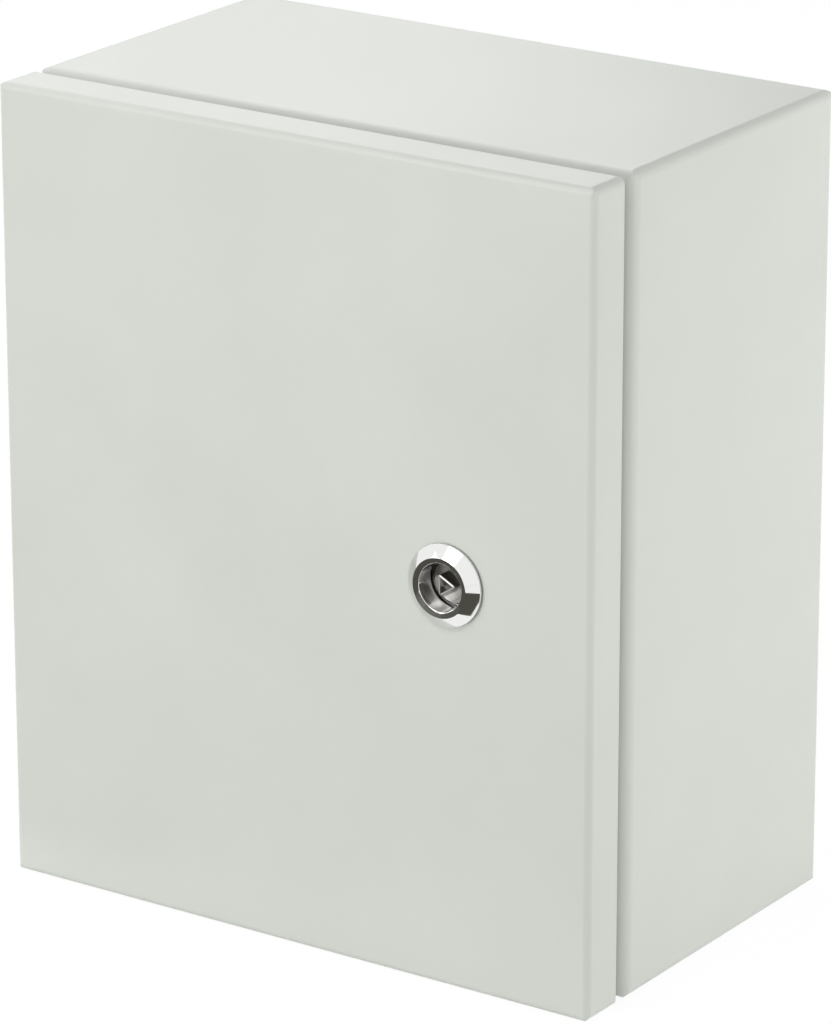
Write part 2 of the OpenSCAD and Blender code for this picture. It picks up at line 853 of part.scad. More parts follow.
module cam_screw() {
    head_h = cam_screw_d * 0.7;
    head_back = cam_back - cam_washer_t;
    color("silver") at_lock() {
        translate([0, head_h - head_back, 0]) rotate([90, 0, 0])
            hex_nut(cam_screw_d * 1.6, 0, head_h);
        ring(cam_screw_d / 2, 0, head_back - eps, head_back + cam_screw_l);
    }
}

housing();
mounting_plate();
plate_studs();
plate_spacers();
plate_washers();
plate_nuts();
gland_plate();
gland_gasket();
gland_studs();
gland_washers();
gland_nuts();
housing_earth_stud();
housing_earth_washer();
housing_earth_nut();
upper_hinge_arm();
lower_hinge_arm();
hinge_arm_screws();
door_shell();
door_gasket();
upper_hinge_leaf();
lower_hinge_leaf();
upper_hinge_pin();
lower_hinge_pin();
hinge_pin_clips();
door_earth_stud();
door_earth_washer();
door_earth_nut();
lock_housing();
lock_seal();
lock_nut();
lock_spindle();
spindle_o_ring();
stop_washer();
lock_cam();
cam_washer();
cam_screw();
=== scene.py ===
# %% [markdown]
# # A small steel wall enclosure, finished in Blender
#
# The object is a folded sheet-steel box for electrical equipment: a housing that hangs
# on a wall, a door on two concealed hinges, and a quarter-turn lock. The imported model
# brings every rigid piece at its real size. This lesson adds what a drawing leaves out:
# paint, plating, foam, screw threads, and the light that shows them.
#
# The first cell loads the imported model. Its pieces are never moved or reshaped here, and
# the box they fill is kept.

# %% Load the frame
import math
import bmesh
import bpy
import numpy as np
from mathutils import Euler, Matrix, Vector


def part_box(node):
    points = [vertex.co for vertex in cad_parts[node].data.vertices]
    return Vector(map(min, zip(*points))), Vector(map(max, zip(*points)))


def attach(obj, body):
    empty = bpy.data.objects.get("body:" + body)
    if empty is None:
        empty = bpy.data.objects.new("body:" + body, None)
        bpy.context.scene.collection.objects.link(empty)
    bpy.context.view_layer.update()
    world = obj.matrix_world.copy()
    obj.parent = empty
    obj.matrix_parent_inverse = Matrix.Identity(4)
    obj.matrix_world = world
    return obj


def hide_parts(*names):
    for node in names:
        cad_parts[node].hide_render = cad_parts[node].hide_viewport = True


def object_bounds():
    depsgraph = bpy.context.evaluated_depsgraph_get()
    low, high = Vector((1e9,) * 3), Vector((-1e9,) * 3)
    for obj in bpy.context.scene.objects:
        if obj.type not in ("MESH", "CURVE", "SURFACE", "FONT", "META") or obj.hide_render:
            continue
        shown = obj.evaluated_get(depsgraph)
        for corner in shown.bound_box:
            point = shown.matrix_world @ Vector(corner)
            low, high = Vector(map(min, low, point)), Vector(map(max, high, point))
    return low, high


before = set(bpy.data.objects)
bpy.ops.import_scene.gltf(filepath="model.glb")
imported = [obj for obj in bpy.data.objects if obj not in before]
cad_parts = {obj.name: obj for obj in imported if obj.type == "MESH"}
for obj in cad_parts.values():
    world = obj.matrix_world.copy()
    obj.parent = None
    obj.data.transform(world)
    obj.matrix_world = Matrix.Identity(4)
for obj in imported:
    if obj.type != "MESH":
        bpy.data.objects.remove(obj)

cad_low, cad_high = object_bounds()
print("overall size in mm:", [round(1000 * v) for v in cad_high - cad_low])

MM = 0.001
POLYMER_IOR = 1.5
scene = bpy.context.scene
scene.view_settings.view_transform = "Standard"

# %% [markdown]
# ## The camera
#
# A product of this kind is usually shown from the lock side and a little above, so that
# the door, one side and the top are all seen. A long lens from two metres away keeps the
# edges nearly parallel. The camera's turn is given as three angles, as on a tripod:
# swung to one side, tipped down, and a hair of roll.

# %% Place the camera
CAMERA_AT = Vector((1.1030, -1.6950, 0.6682))
SWING, TIP, ROLL = 0.5985, 0.3329, -0.0012
LENS_MM = 202.05

camera_data = bpy.data.cameras.new("product_camera")
camera_data.lens = LENS_MM
camera_data.sensor_width = 36.0
camera_data.clip_start = 0.05
camera_data.clip_end = 50.0
camera = bpy.data.objects.new("product_camera", camera_data)
scene.collection.objects.link(camera)
aim = Euler((math.pi / 2 - TIP, 0.0, SWING)).to_matrix().to_4x4()
camera.matrix_world = Matrix.Translation(CAMERA_AT) @ aim @ Matrix.Rotation(ROLL, 4, "Z")
scene.camera = camera
middle = (cad_low + cad_high) / 2
print("camera is", round((CAMERA_AT - middle).length, 3), "m from the middle of the box")

# %% [markdown]
# ## Two helpers for finishes
#
# A finish is a small network of shader nodes. One function adds a node: its plain
# settings are set by name, and each socket gets either a number or a link from another
# node. Another turns a colour as it is written on a paint card, an sRGB hex value, into
# the linear light values that a renderer works with.

# %% Add a node, and read a colour
def srgb(code):
    """Hex colour to linear: each channel is c/12.92 below 0.04045, else ((c+0.055)/1.055)^2.4."""
    channels = [int(code[i:i + 2], 16) / 255 for i in (0, 2, 4)]
    linear = [c / 12.92 if c <= 0.04045 else ((c + 0.055) / 1.055) ** 2.4 for c in channels]
    return (*linear, 1.0)


def add(tree, kind, sockets=None, **settings):
    """Adds one node; sockets maps a socket's name or number to a value or to an output."""
    node = tree.nodes.new(kind)
    for name, value in settings.items():
        setattr(node, name, value)
    for socket, value in (sockets or {}).items():
        if isinstance(value, bpy.types.NodeSocket):
            tree.links.new(value, node.inputs[socket])
        else:
            node.inputs[socket].default_value = value
    return node


def new_finish(name):
    """An empty material with its surface shader and the object's own coordinates."""
    finish = bpy.data.materials.new(name)
    finish.use_nodes = True
    tree = finish.node_tree
    tree.nodes.clear()
    shader = add(tree, "ShaderNodeBsdfPrincipled")
    add(tree, "ShaderNodeOutputMaterial", {"Surface": shader.outputs["BSDF"]})
    place = add(tree, "ShaderNodeTexCoord").outputs["Object"]
    return finish, tree, shader, place


def per_mm(size):
    """Noise scale whose features are about this many millimetres across."""
    return 1000.0 / size


# %% [markdown]
# ## Powder coat
#
# The housing and the door are sprayed with dry polyester powder and baked at about 180
# degrees. The powder melts into a film 70 micrometres thick that creeps round the bends
# and levels out, but never quite: it keeps a faint orange peel, with waves a millimetre
# or two across, and under a raking lamp a slow unevenness of tone. It is a plastic film,
# so it reflects as a dielectric with an index near 1.5, satin rather than glossy.
# A picture wrapped round folded sheet would show seams; noise in the object's own
# millimetres runs over every bend without one.

# %% Make the powder coat
PEEL_MM = 1.6
GRAIN_MM = 0.35
CLOUD_MM = 60.0
CLOUD_SHARE = 0.7
PEEL_DEPTH = 0.05 * MM

powder_coat, tree, shader, place = new_finish("powder_coat_light_grey")
cloud = add(tree, "ShaderNodeTexNoise", {"Vector": place, "Scale": per_mm(CLOUD_MM),
                                         "Detail": 2.0})
grain = add(tree, "ShaderNodeTexNoise", {"Vector": place, "Scale": per_mm(GRAIN_MM),
                                         "Detail": 1.0})
tone = add(tree, "ShaderNodeMath", {0: cloud.outputs["Fac"], 1: CLOUD_SHARE},
           operation="MULTIPLY")
tone = add(tree, "ShaderNodeMath", {0: grain.outputs["Fac"], 1: 1 - CLOUD_SHARE,
                                    2: tone.outputs[0]}, operation="MULTIPLY_ADD")
coat = add(tree, "ShaderNodeValToRGB", {"Fac": tone.outputs[0]})
coat.color_ramp.elements[0].position = 0.35
coat.color_ramp.elements[0].color = srgb("D0D4CC")
coat.color_ramp.elements[1].position = 0.65
coat.color_ramp.elements[1].color = srgb("D3D7D0")
tree.links.new(coat.outputs["Color"], shader.inputs["Base Color"])
sheen = add(tree, "ShaderNodeMapRange", {"Value": cloud.outputs["Fac"], "From Min": 0.3,
                                         "From Max": 0.7, "To Min": 0.36, "To Max": 0.42})
tree.links.new(sheen.outputs["Result"], shader.inputs["Roughness"])
peel = add(tree, "ShaderNodeTexNoise", {"Vector": place, "Scale": per_mm(PEEL_MM),
                                        "Detail": 1.5, "Roughness": 0.4})
bump = add(tree, "ShaderNodeBump", {"Height": peel.outputs["Fac"], "Strength": 0.25,
                                    "Distance": PEEL_DEPTH})
tree.links.new(bump.outputs["Normal"], shader.inputs["Normal"])
shader.inputs["IOR"].default_value = POLYMER_IOR
print("powder coat: peel", PEEL_MM, "mm, grain", GRAIN_MM, "mm")

# %% [markdown]
# ## Galvanised sheet
#
# The mounting plate and the gland plate are cut from strip that was dipped in molten
# zinc. As the zinc freezes, crystals grow until they meet, which leaves the patchwork
# called spangle: flat cells some millimetres across, each with its own slight tilt, so
# each reflects a little lighter or darker. A cell pattern gives every crystal one
# random number, and that number drives both its tone and its roughness.

# %% Make the galvanised sheet
SPANGLE_MM = 7.0

galvanised, tree, shader, place = new_finish("galvanised_sheet_spangled")
wander = add(tree, "ShaderNodeTexNoise", {"Vector": place, "Scale": per_mm(4.0), "Detail": 2.0})
bent = add(tree, "ShaderNodeMixRGB", {"Fac": 0.0025, "Color1": place,
                                      "Color2": wander.outputs["Color"]}, blend_type="ADD")
spangle = add(tree, "ShaderNodeTexVoronoi", {"Vector": bent.outputs["Color"],
                                             "Scale": per_mm(SPANGLE_MM)})
one = add(tree, "ShaderNodeSeparateColor", {"Color": spangle.outputs["Color"]})
zinc = add(tree, "ShaderNodeValToRGB", {"Fac": one.outputs[0]})
zinc.color_ramp.elements[0].color = srgb("B3B8BA")
zinc.color_ramp.elements[1].color = srgb("C8CCCE")
tree.links.new(zinc.outputs["Color"], shader.inputs["Base Color"])
dull = add(tree, "ShaderNodeMapRange", {"Value": one.outputs[1], "To Min": 0.38,
                                        "To Max": 0.5})
tree.links.new(dull.outputs["Result"], shader.inputs["Roughness"])
frost = add(tree, "ShaderNodeBump", {"Height": spangle.outputs["Distance"], "Strength": 0.15,
                                     "Distance": 0.0002})
tree.links.new(frost.outputs["Normal"], shader.inputs["Normal"])
shader.inputs["Metallic"].default_value = 1.0
print("galvanised sheet: crystals", SPANGLE_MM, "mm")

# %% [markdown]
# ## Plated small parts
#
# Nuts, washers, screws, the cam and the stop washer are steel with a few micrometres of
# electroplated zinc, passivated to a faint blue-grey with a trace of yellow. The weld
# studs are flashed with copper, which helps the welding arc, and have darkened unevenly
# since. The clips are spring steel, blackened in hot oil, and the plain zinc castings are
# only tumbled. All are metals with a fine surface, so the same recipe serves: a slow
# noise mixes two close colours, and a fine one unsettles the roughness.

# %% Make the plated finishes
def plated(name, light, dark, patch_mm, rough_low, rough_high):
    """Metal whose colour runs between two tones over patches of the given size."""
    finish, tree, shader, place = new_finish(name)
    patch = add(tree, "ShaderNodeTexNoise", {"Vector": place, "Scale": per_mm(patch_mm),
                                             "Detail": 3.0})
    film = add(tree, "ShaderNodeValToRGB", {"Fac": patch.outputs["Fac"]})
    film.color_ramp.elements[0].position = 0.35
    film.color_ramp.elements[0].color = srgb(dark)
    film.color_ramp.elements[1].position = 0.65
    film.color_ramp.elements[1].color = srgb(light)
    tree.links.new(film.outputs["Color"], shader.inputs["Base Color"])
    pit = add(tree, "ShaderNodeTexNoise", {"Vector": place, "Scale": per_mm(0.4), "Detail": 1.0})
    rough = add(tree, "ShaderNodeMapRange", {"Value": pit.outputs["Fac"], "From Min": 0.3,
                                             "From Max": 0.7, "To Min": rough_low,
                                             "To Max": rough_high})
    tree.links.new(rough.outputs["Result"], shader.inputs["Roughness"])
    bump = add(tree, "ShaderNodeBump", {"Height": pit.outputs["Fac"], "Strength": 0.1,
                                        "Distance": 0.00005})
    tree.links.new(bump.outputs["Normal"], shader.inputs["Normal"])
    shader.inputs["Metallic"].default_value = 1.0
    print(name, "with patches of", patch_mm, "mm")
    return finish


zinc_plate = plated("zinc_plated_steel_passivated", "C9CCC8", "B3B6B0", 5.0, 0.24, 0.36)
copper_flash = plated("copper_flashed_weld_stud", "BE9680", "9B7460", 3.0, 0.3, 0.45)
spring_steel = plated("spring_steel_oil_blackened", "4A4B4D", "333436", 2.0, 0.3, 0.4)
tumbled_zinc = plated("die_cast_zinc_tumbled", "B4B6B5", "A0A2A2", 6.0, 0.34, 0.46)

# %% [markdown]
# ## Cast zinc and chrome
#
# The lock is die-cast in zinc. Its outer part is polished, copper and nickel plated, and
# finished with chromium: nearly a mirror, slightly blue, with reflections that stay
# crisp. The spindle that the key turns is only tumbled and faced on a lathe, so it is
# darker, and its face keeps fine rings round the lock's axis. The rings come from a wave
# pattern: flattened along the axis, its spheres become circles.

# %% Make the lock's finishes
lock_low, lock_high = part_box("lock_housing")
lock_x, lock_z = (lock_low.x + lock_high.x) / 2, (lock_low.z + lock_high.z) / 2
# Real turning marks are about 0.1 mm apart, too fine to show, so they are drawn coarser.
# A wave node turns through 20 radians in each unit of its scale.
RING_MM = 2.8274
WAVE_RADIANS = 20.0

chrome, tree, shader, place = new_finish("chrome_plated_zinc_polished")
haze = add(tree, "ShaderNodeTexNoise", {"Vector": place, "Scale": per_mm(8.0), "Detail": 2.0})
buff = add(tree, "ShaderNodeMapRange", {"Value": haze.outputs["Fac"], "From Min": 0.3,
                                        "From Max": 0.7, "To Min": 0.04, "To Max": 0.08})
tree.links.new(buff.outputs["Result"], shader.inputs["Roughness"])
ripple = add(tree, "ShaderNodeBump", {"Height": haze.outputs["Fac"], "Strength": 0.05,
                                      "Distance": 0.00005})
tree.links.new(ripple.outputs["Normal"], shader.inputs["Normal"])
shader.inputs["Base Color"].default_value = srgb("EDEDEC")
shader.inputs["Metallic"].default_value = 1.0

cast_zinc, tree, shader, place = new_finish("die_cast_zinc_turned_face")
about_axis = add(tree, "ShaderNodeMapping", {"Vector": place, "Location": (-lock_x, 0.0, -lock_z),
                                             "Scale": (1.0, 0.0, 1.0)})
rings = add(tree, "ShaderNodeTexWave", {"Vector": about_axis.outputs["Vector"],
                                        "Scale": per_mm(RING_MM) * 2 * math.pi / WAVE_RADIANS,
                                        "Distortion": 1.5, "Detail": 2.0},
            wave_type="RINGS", rings_direction="SPHERICAL")
mottle = add(tree, "ShaderNodeTexNoise", {"Vector": place, "Scale": per_mm(1.8), "Detail": 3.0})
skin = add(tree, "ShaderNodeValToRGB", {"Fac": mottle.outputs["Fac"]})
skin.color_ramp.elements[0].position = 0.3
skin.color_ramp.elements[0].color = srgb("939290")
skin.color_ramp.elements[1].position = 0.7
skin.color_ramp.elements[1].color = srgb("A19F9B")
tree.links.new(skin.outputs["Color"], shader.inputs["Base Color"])
cut = add(tree, "ShaderNodeBump", {"Height": rings.outputs["Fac"], "Strength": 0.2,
                                   "Distance": 0.00004})
tree.links.new(cut.outputs["Normal"], shader.inputs["Normal"])
groove_way = add(tree, "ShaderNodeVectorMath", {0: about_axis.outputs["Vector"],
                                                1: (0.0, 1.0, 0.0)}, operation="CROSS_PRODUCT")
groove_way = add(tree, "ShaderNodeVectorTransform", {0: groove_way.outputs[0]},
                 vector_type="VECTOR", convert_from="OBJECT", convert_to="WORLD")
tree.links.new(groove_way.outputs[0], shader.inputs["Tangent"])
shader.inputs["Anisotropic"].default_value = 0.75
lathe = add(tree, "ShaderNodeMapRange", {"Value": mottle.outputs["Fac"], "To Min": 0.26,
                                         "To Max": 0.30})
tree.links.new(lathe.outputs["Result"], shader.inputs["Roughness"])
shader.inputs["Metallic"].default_value = 1.0

# The driver's rounded top edge gets a near-white rough metal. It is a painted highlight: its
# colour draws a bright outline round the driver.
painted_highlight_edge, tree, shader, place = new_finish("die_cast_zinc_painted_highlight_edge")
scuff = add(tree, "ShaderNodeTexNoise", {"Vector": place, "Scale": per_mm(0.8), "Detail": 3.0})
edge_roughness = add(tree, "ShaderNodeMapRange", {"Value": scuff.outputs["Fac"], "From Min": 0.3,
                                        "From Max": 0.7, "To Min": 0.45, "To Max": 0.65})
tree.links.new(edge_roughness.outputs["Result"], shader.inputs["Roughness"])
shader.inputs["Base Color"].default_value = srgb("EFEEEA")
shader.inputs["Metallic"].default_value = 1.0
print("lock axis at x", round(1000 * lock_x, 1), "mm, z", round(1000 * lock_z, 1), "mm")

# %% [markdown]
# ## Foam and rubber
#
# The door seal is polyurethane foam, poured as a liquid bead by a nozzle that runs once
# round the door. It skins over as it rises, and the skin is full of tiny pits. The flat
# gaskets and the O-ring are solid black rubber, smoother and a little shiny.

# %% Make the foam and the rubber
def soft_black(name, light, dark, cell_mm, rough, depth):
    """Dull dark polymer with pits of the given size."""
    finish, tree, shader, place = new_finish(name)
    cells = add(tree, "ShaderNodeTexVoronoi", {"Vector": place, "Scale": per_mm(cell_mm)})
    # The colour follows the same cell field as the depth and is darker at the bottom of each pit:
    # painted shade in the pits.
    shade = add(tree, "ShaderNodeValToRGB", {"Fac": cells.outputs["Distance"]})
    shade.color_ramp.elements[0].color = srgb(dark)
    shade.color_ramp.elements[1].color = srgb(light)
    tree.links.new(shade.outputs["Color"], shader.inputs["Base Color"])
    bump = add(tree, "ShaderNodeBump", {"Height": cells.outputs["Distance"], "Strength": 0.6,
                                        "Distance": depth})
    tree.links.new(bump.outputs["Normal"], shader.inputs["Normal"])
    shader.inputs["Roughness"].default_value = rough
    shader.inputs["IOR"].default_value = POLYMER_IOR
    print(name, "with cells of", cell_mm, "mm")
    return finish


foam = soft_black("poured_polyurethane_foam", "4B4D4C", "2B2C2C", 0.6, 0.75, 0.0002)
rubber = soft_black("moulded_black_rubber", "232424", "181919", 0.3, 0.5, 0.00005)

# %% [markdown]
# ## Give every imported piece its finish
#
# The record already says which material each piece has. Each of those names is matched
# with one finish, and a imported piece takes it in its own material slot.

# %% Paint the frame
FINISH_OF = {
    "powder_coated_steel": powder_coat,
    "galvanised_sheet": galvanised,
    "zinc_plated_steel": zinc_plate,
    "copper_flashed_steel": copper_flash,
    "die_cast_zinc": tumbled_zinc,
    "chrome_plated_zinc": chrome,
    "foamed_gasket": foam,
    "black_rubber": rubber,
    "spring_steel": spring_steel,
}
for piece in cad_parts.values():
    for material_slot in piece.material_slots:
        if material_slot.material is not None:
            material_slot.material = FINISH_OF[material_slot.material.name]
print("finishes given to", len(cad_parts), "pieces")

# %% [markdown]
# ## Surfaces from numbers
#
# The pieces made here are all grids: one direction runs along or round the piece, the
# other across it. A small helper joins such a grid into faces, closing it round when the
# last column meets the first. Where a piece has open ends, a flat lid is added on each.

# %% Turn a grid of points into a piece
def grid_faces(rows, columns, first=0, loop=False):
    """Quads of a grid that is closed round: face (i, j) joins points (i, j), (i, j+1),
    (i+1, j+1) and (i+1, j), with the column after the last one being the first. With
    loop, the row after the last one is the first too."""
    i, j = np.meshgrid(np.arange(rows if loop else rows - 1), np.arange(columns), indexing="ij")
    k, below = (j + 1) % columns, (i + 1) % rows
    quads = np.stack([i * columns + j, i * columns + k,
                      below * columns + k, below * columns + j], axis=-1)
    return (first + quads.reshape(-1, 4)).tolist()


def make_piece(name, points, faces, finish, body, replaced, sharp_deg=35.0):
    """Puts points and faces into a mesh, shades it smooth except at sharp edges, and
    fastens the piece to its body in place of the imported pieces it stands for."""
    mesh = bpy.data.meshes.new(name)
    mesh.from_pydata(points.tolist(), [], faces)
    mesh.validate()
    mesh.materials.append(finish)
    mesh.shade_smooth()
    mesh.set_sharp_from_angle(angle=math.radians(sharp_deg))
    piece = bpy.data.objects.new(name, mesh)
    scene.collection.objects.link(piece)
    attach(piece, body)
    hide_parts(*replaced)
    check = bmesh.new()
    check.from_mesh(mesh)
    volume = check.calc_volume(signed=True)
    check.free()
    print(name, "has", len(faces), "faces round", round(1e6 * volume, 3), "cubic centimetres")
    assert volume > 0, name + " is inside out"
    return piece


# %% [markdown]
# ## Threaded weld studs
#
# Twelve studs are welded to the sheets: four carry the mounting plate, six the gland
# plate and two are for earthing. Each is a short rod with a rolled thread, a low weld
# collar at its foot and a chamfered tip. A thread is a radius that rises and falls once
# per pitch along the rod, with its phase turned once round the rod, so that the ridge
# climbs as a screw does.

# %% Work out a stud
COLLAR = 1 * MM


def thread_cut(turns):
    """Depth of a thread in pitches: 0.6 times a triangle wave of the turns, with the
    crest and the root cut a little flat."""
    wave = np.abs(2 * (turns % 1.0) - 1)
    return 0.6 * np.clip(1.15 * wave - 0.1, 0, 1)


def stud_points(diameter, length, pitch, around=32, per_turn=8):
    """Grid of a stud standing on z = 0. Radius = outer radius less the thread's cut at
    (z / pitch - angle / full turn), held inside the collar's and the tip's cones."""
    collar_h, tip = 0.9 * MM, 0.8 * MM
    foot = np.array([0.0, 0.6 * MM, collar_h])
    z = np.concatenate([foot, np.arange(collar_h, length, pitch / per_turn)[1:], [length]])
    turn = np.arange(around) / around
    zz, tt = np.meshgrid(z, turn, indexing="ij")
    outer = diameter / 2
    radius = outer - pitch * thread_cut(zz / pitch - tt)
    radius = np.minimum(radius, outer - tip + (length - zz))
    radius = np.where(zz < collar_h - 1e-9, outer + COLLAR, radius)
    radius[2] = outer
    x, y = radius * np.cos(2 * np.pi * tt), radius * np.sin(2 * np.pi * tt)
    return np.stack([x, y, zz], axis=-1), around


def studs_piece(name, nodes, body, feet, axis, diameter, length, pitch):
    """Copies of one stud on the given feet, pointing along axis ("y-", "y+" or "z+")."""
    grid, around = stud_points(diameter, length, pitch)
    rows = len(grid)
    flat = grid.reshape(-1, 3)
    turned = {"z+": flat, "y-": flat[:, [0, 2, 1]] * (1, -1, 1),
              "y+": flat[:, [0, 2, 1]] * (-1, 1, 1)}[axis]
    points, faces = [], []
    for foot in feet:
        first = len(points) * len(flat)
        points.append(turned + np.array(foot))
        faces += grid_faces(rows, around, first)
        faces.append(list(range(first + around - 1, first - 1, -1)))
        last = first + (rows - 1) * around
        faces.append(list(range(last, last + around)))
    return make_piece(name, np.concatenate(points), faces, copper_flash, body, nodes)


# %% [markdown]
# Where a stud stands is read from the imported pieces. A group of studs fills a box, so
# the feet lie one collar radius in from the box's corners, and the six gland studs have
# two more halfway along.

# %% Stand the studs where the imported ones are
M6, M6_PITCH, M5, M5_PITCH = 6 * MM, 1.0 * MM, 5 * MM, 0.8 * MM


def spread(low, high, inset, count):
    """Evenly spaced places between two limits, moved in by inset."""
    return np.linspace(low + inset, high - inset, count)


low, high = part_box("plate_studs")
inset = M6 / 2 + COLLAR
studs_piece("plate_studs_threaded", ["plate_studs"], "enclosure",
            [(x, high.y, z) for x in spread(low.x, high.x, inset, 2)
             for z in spread(low.z, high.z, inset, 2)],
            "y-", M6, high.y - low.y, M6_PITCH)
low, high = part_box("gland_studs")
inset = M5 / 2 + COLLAR
studs_piece("gland_studs_threaded", ["gland_studs"], "enclosure",
            [(x, y, low.z) for x in spread(low.x, high.x, inset, 3)
             for y in spread(low.y, high.y, inset, 2)],
            "z+", M5, high.z - low.z, M5_PITCH)
low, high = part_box("housing_earth_stud")
studs_piece("housing_earth_stud_threaded", ["housing_earth_stud"], "enclosure",
            [((low.x + high.x) / 2, (low.y + high.y) / 2, low.z)],
            "z+", M6, high.z - low.z, M6_PITCH)
low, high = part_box("door_earth_stud")
studs_piece("door_earth_stud_threaded", ["door_earth_stud"], "door",
            [((low.x + high.x) / 2, low.y, (low.z + high.z) / 2)],
            "y+", M6, high.y - low.y, M6_PITCH)

# %% [markdown]
# ## The lock's cast body
#
# Everything that is round on a lock is made by turning or by a round die, so its shape is
# one profile carried round an axis. No cast and polished edge is sharp: each corner of
# the profile gets a small arc, and those arcs are what draws the thin bright outlines on
# a polished part. The barrel behind the door is threaded for its nut and milled flat
# above and below, which is a thread whose points are held between two planes.

# %% Turn the bezel and the barrel
def filleted(corners, steps=6):
    """Profile whose corners are arcs. Each corner is (radius, height, fillet): the arc
    starts and ends fillet * tan(half the turn) away from the corner, and its points lie
    fillet away from its centre, which is on the corner's bisector."""
    points = []
    for n, (r, h, fillet) in enumerate(corners):
        here = np.array([r, h])
        before = np.array(corners[n - 1][:2]) - here
        after = np.array(corners[(n + 1) % len(corners)][:2]) - here
        before, after = before / np.linalg.norm(before), after / np.linalg.norm(after)
        if fillet == 0:
            points.append(here)
            continue
        bisector = (before + after) / np.linalg.norm(before + after)
        half = math.acos(np.clip(before @ bisector, -1, 1))
        centre = here + bisector * fillet / math.sin(half)
        first = here + before * fillet / math.tan(half) - centre
        last = here + after * fillet / math.tan(half) - centre
        mix = np.linspace(0, 1, steps)[:, None]
        arc = first * (1 - mix) + last * mix
        points += list(centre + fillet * arc / np.linalg.norm(arc, axis=1)[:, None])
    return np.array(points)


def carried_round(profile, count):
    """Grid of a profile of (radius, height) rows carried round by count equal angles:
    x = radius * cos(angle), z = radius * sin(angle), and the height stays."""
    angle = 2 * np.pi * np.arange(count) / count
    return (profile[:, :1] * np.cos(angle), np.repeat(profile[:, 1:], count, axis=1),
            profile[:, :1] * np.sin(angle), angle)


def on_lock_axis(x, height, z):
    """Millimetres about the lock's axis, with heights in front of the door, to metres."""
    return np.stack([lock_x + x * MM, door_y - height * MM, lock_z + z * MM],
                    axis=-1).reshape(-1, 3)


door_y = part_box("door_shell")[0].y
BEZEL_R = (lock_high.x - lock_low.x) / 2 / MM
BEZEL_TOP = (door_y - lock_low.y) / MM
BARREL_END = (door_y - lock_high.y) / MM
SEAL_T, RIM_H, EDGE_W, DISH_H = 0.6, 0.9, 2.0, 0.75
RECESS_R, RECESS_END, BARREL_R, FLAT, BORE_R = 8.8, -6.6, 11.0, 10.0, 5.05
BARREL_PITCH, NOTCH_R, NOTCH_H = 1.5, 7.6, 1.8
NOTCH_FROM, NOTCH_TO = math.radians(239), math.radians(31)

front = filleted([
    (BORE_R, BARREL_END, 0), (BORE_R, RECESS_END, 0.1), (RECESS_R, RECESS_END, 0.3),
    (RECESS_R, BEZEL_TOP - DISH_H, 0.3), (RECESS_R + EDGE_W, BEZEL_TOP, 0.35),
    (BEZEL_R, SEAL_T + RIM_H, 0.3), (BEZEL_R, SEAL_T, 0.15), (BARREL_R, SEAL_T, 0)])
down = np.arange(0.0, BARREL_END + 0.4, -BARREL_PITCH / 8)
thread = np.stack([np.full(len(down), BARREL_R), down], axis=-1)
rear = np.array([(BARREL_R - 1, BARREL_END), (NOTCH_R, BARREL_END), (NOTCH_R - 0.05, BARREL_END)])
profile = np.concatenate([front, thread, rear])
x, height, z, angle = carried_round(profile, 160)
cut = 1 - BARREL_PITCH / BARREL_R * thread_cut(height / BARREL_PITCH - angle / (2 * np.pi))
threaded = slice(len(front), len(front) + len(thread))
x[threaded], z[threaded] = (x * cut)[threaded], (z * cut)[threaded]
z[len(front) - 1:] = np.clip(z[len(front) - 1:], -FLAT, FLAT)
in_notch = (angle > NOTCH_FROM) | (angle < NOTCH_TO)
height[-1, in_notch] += NOTCH_H
height[0, in_notch] += NOTCH_H
# The profile runs from the bore outwards, which leaves the grid inside out: each face is
# turned over.
bezel_faces = [face[::-1] for face in grid_faces(*x.shape, loop=True)]
make_piece("lock_bezel_and_barrel", on_lock_axis(x, height, z), bezel_faces, chrome, "door",
           ["lock_housing"], sharp_deg=40.0)

# %% [markdown]
# ## The spindle and its driver
#
# The key sits over a raised three-sided driver. Driver, head and shaft are one casting:
# the shaft has a groove for its O-ring and ends in a square that turns the cam. The
# driver's outline is three arcs joined by straight flats, and its top edge is rounded
# over by the same quarter circle everywhere, so the outline is carried up the side and
# then inwards along that quarter circle.

# %% Turn the spindle and raise its driver
HEAD_R, FACE, SHAFT_R, SHOULDER = 7.9, -4.1, 5.0, -6.5
GROOVE, GROOVE_W, GROOVE_R = -10.6, 1.6, 3.5
SQUARE, HOLE_R, HOLE_END = 3.5, 2.55, -15.4
spindle_end = (door_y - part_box("lock_spindle")[1].y) / MM

profile = filleted([
    (0.02, HOLE_END, 0), (HOLE_R, HOLE_END, 0), (HOLE_R, spindle_end, 0),
    (SQUARE * math.sqrt(2), spindle_end, 0), (SQUARE * math.sqrt(2), BARREL_END, 0),
    (SHAFT_R, BARREL_END, 0), (SHAFT_R, GROOVE, 0), (GROOVE_R, GROOVE, 0),
    (GROOVE_R, GROOVE + GROOVE_W, 0), (SHAFT_R, GROOVE + GROOVE_W, 0),
    (SHAFT_R, SHOULDER, 0.2), (HEAD_R, SHOULDER, 0.2), (HEAD_R, FACE, 0.35), (0.02, FACE, 0)])
x, height, z, angle = carried_round(profile, 96)
x[3:5], z[3:5] = np.clip(x[3:5], -SQUARE, SQUARE), np.clip(z[3:5], -SQUARE, SQUARE)
spindle_points = on_lock_axis(x, height, z)
rows = len(profile)
spindle_faces = grid_faces(rows, 96) + [list(range(95, -1, -1)),
                                        list(range((rows - 1) * 96, rows * 96))]

